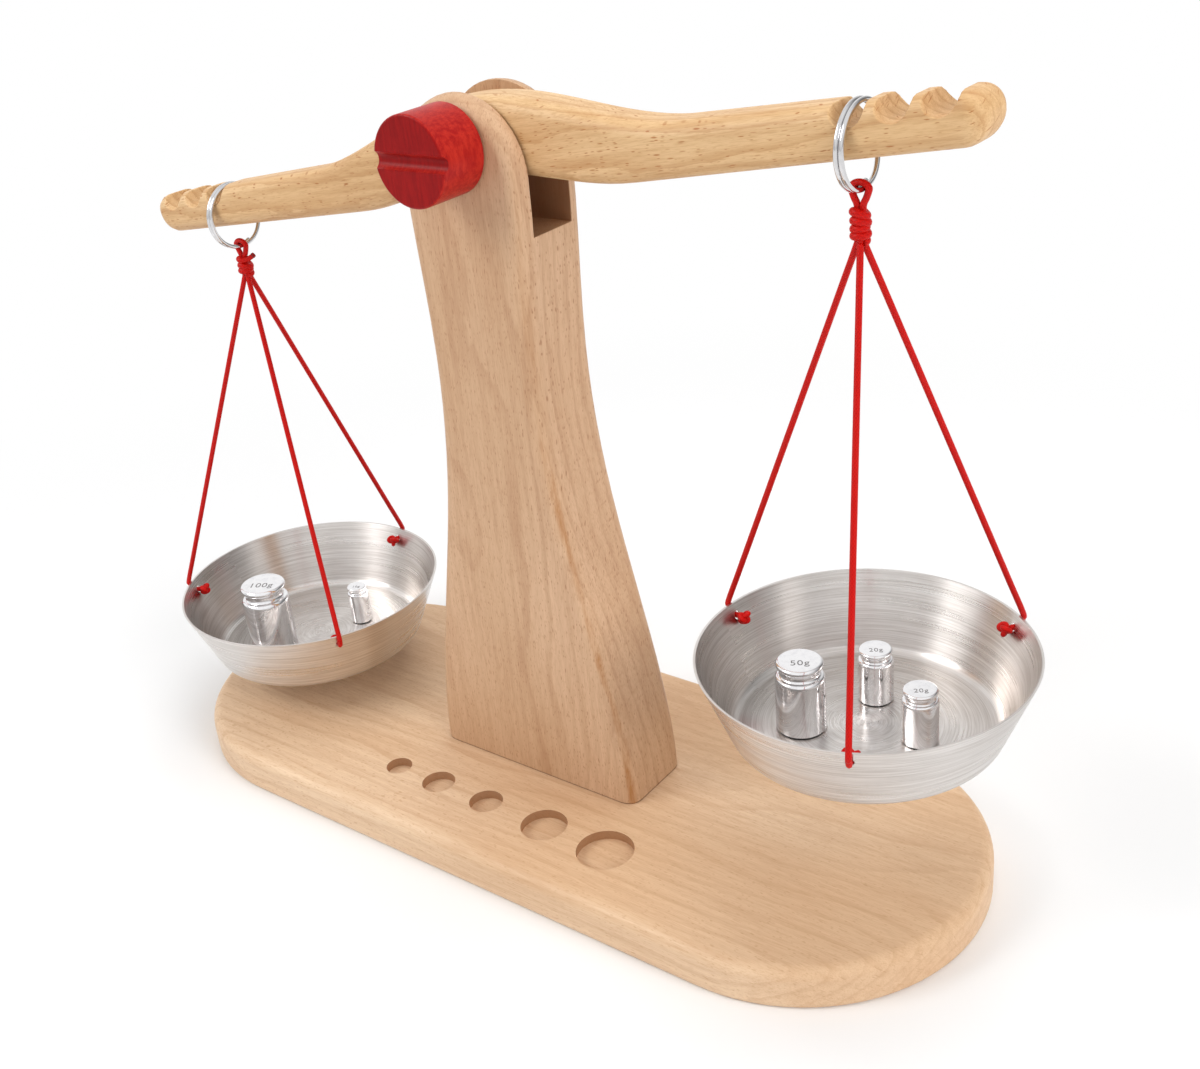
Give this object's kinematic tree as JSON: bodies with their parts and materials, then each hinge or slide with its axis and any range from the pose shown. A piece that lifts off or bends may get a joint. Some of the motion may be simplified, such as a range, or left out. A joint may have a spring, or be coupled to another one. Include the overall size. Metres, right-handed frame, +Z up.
{
  "type": "wooden balance scale toy",
  "caption": "Wooden play scale: board with weight pockets, slotted pillar, tilting beam, pans hung on cords, turned metal weights.",
  "frame": {"origin": "centre of the base board's underside", "axes": "+X along the board to the right, +Y to the back, +Z up"},
  "size_m": [0.4123, 0.148, 0.3039],
  "materials": {
    "board_wood": "satin oiled beech, grain along the board",
    "pillar_wood": "satin oiled beech, grain upright",
    "beam_wood": "satin oiled beech, grain along the beam",
    "axle_wood": "smooth beech dowel",
    "red_wood": "red stained and lacquered wood",
    "screw_steel": "zinc plated",
    "ring_steel": "polished nickel plate",
    "pan_steel": "spun stainless steel with fine turning lines",
    "red_cord": "satin braided cord",
    "weight_chrome": "polished chrome plate"
  },
  "bodies": {
    "stand": {"base_board": "board_wood", "pillar": "pillar_wood", "pillar_screws": "screw_steel"},
    "axle_pin": {"axle": "axle_wood", "knob": "red_wood"},
    "beam": {"beam": "beam_wood"},
    "left_ring": {"left_ring": "ring_steel"},
    "right_ring": {"right_ring": "ring_steel"},
    "left_knot": {"left_cord_loop": "red_cord", "left_cord_knot": "red_cord"},
    "right_knot": {"right_cord_loop": "red_cord", "right_cord_knot": "red_cord"},
    "left_hanger": {"left_string_a": "red_cord", "left_string_b": "red_cord", "left_string_c": "red_cord", "left_rim_knots": "red_cord", "left_pan": "pan_steel"},
    "right_hanger": {"right_string_a": "red_cord", "right_string_b": "red_cord", "right_string_c": "red_cord", "right_rim_knots": "red_cord", "right_pan": "pan_steel"},
    "weight_10g": {"weight_10g": "weight_chrome"},
    "weight_20g_a": {"weight_20g_a": "weight_chrome"},
    "weight_20g_b": {"weight_20g_b": "weight_chrome"},
    "weight_50g": {"weight_50g": "weight_chrome"},
    "weight_100g": {"weight_100g": "weight_chrome"}
  },
  "joints": [
    {"name": "axle_turn", "type": "hinge", "parent": "stand", "child": "axle_pin", "pos_m": [0, 0, 0.28], "axis": [0, 1, 0], "continuous": true},
    {"name": "beam_tilt", "type": "hinge", "parent": "stand", "child": "beam", "pos_m": [0, 0, 0.28], "axis": [0, 1, 0], "range_deg": [-4, 22]},
    {"name": "left_ring_turn", "type": "hinge", "parent": "beam", "child": "left_ring", "pos_m": [-0.14533, 0, 0.25151], "axis": [0, 1, 0], "range_deg": [-22, 4]},
    {"name": "left_cord_swing", "type": "hinge", "parent": "left_ring", "child": "left_knot", "pos_m": [-0.14533, 0, 0.2261], "axis": [0, 1, 0], "range_deg": [-6, 6]},
    {"name": "left_pan_swing", "type": "hinge", "parent": "left_knot", "child": "left_hanger", "pos_m": [-0.14533, 0, 0.21249], "axis": [1, 0, 0], "range_deg": [-8, 8]},
    {"name": "right_ring_turn", "type": "hinge", "parent": "beam", "child": "right_ring", "pos_m": [0.14702, 0, 0.29782], "axis": [0, 1, 0], "range_deg": [-22, 4]},
    {"name": "right_cord_swing", "type": "hinge", "parent": "right_ring", "child": "right_knot", "pos_m": [0.14702, 0, 0.27241], "axis": [0, 1, 0], "range_deg": [-6, 6]},
    {"name": "right_pan_swing", "type": "hinge", "parent": "right_knot", "child": "right_hanger", "pos_m": [0.14702, 0, 0.25544], "axis": [1, 0, 0], "range_deg": [-8, 8]},
    {"name": "weight_10g_lift", "type": "slide", "parent": "left_hanger", "child": "weight_10g", "axis": [0, 0, 1], "range_m": [0, 0.035]},
    {"name": "weight_100g_lift", "type": "slide", "parent": "left_hanger", "child": "weight_100g", "axis": [0, 0, 1], "range_m": [0, 0.035]},
    {"name": "weight_20g_a_lift", "type": "slide", "parent": "right_hanger", "child": "weight_20g_a", "axis": [0, 0, 1], "range_m": [0, 0.035]},
    {"name": "weight_20g_b_lift", "type": "slide", "parent": "right_hanger", "child": "weight_20g_b", "axis": [0, 0, 1], "range_m": [0, 0.035]},
    {"name": "weight_50g_lift", "type": "slide", "parent": "right_hanger", "child": "weight_50g", "axis": [0, 0, 1], "range_m": [0, 0.035]}
  ],
  "couplings": [
    {"joint": "left_ring_turn", "follows": "beam_tilt", "ratio": -1},
    {"joint": "right_ring_turn", "follows": "beam_tilt", "ratio": -1}
  ]
}
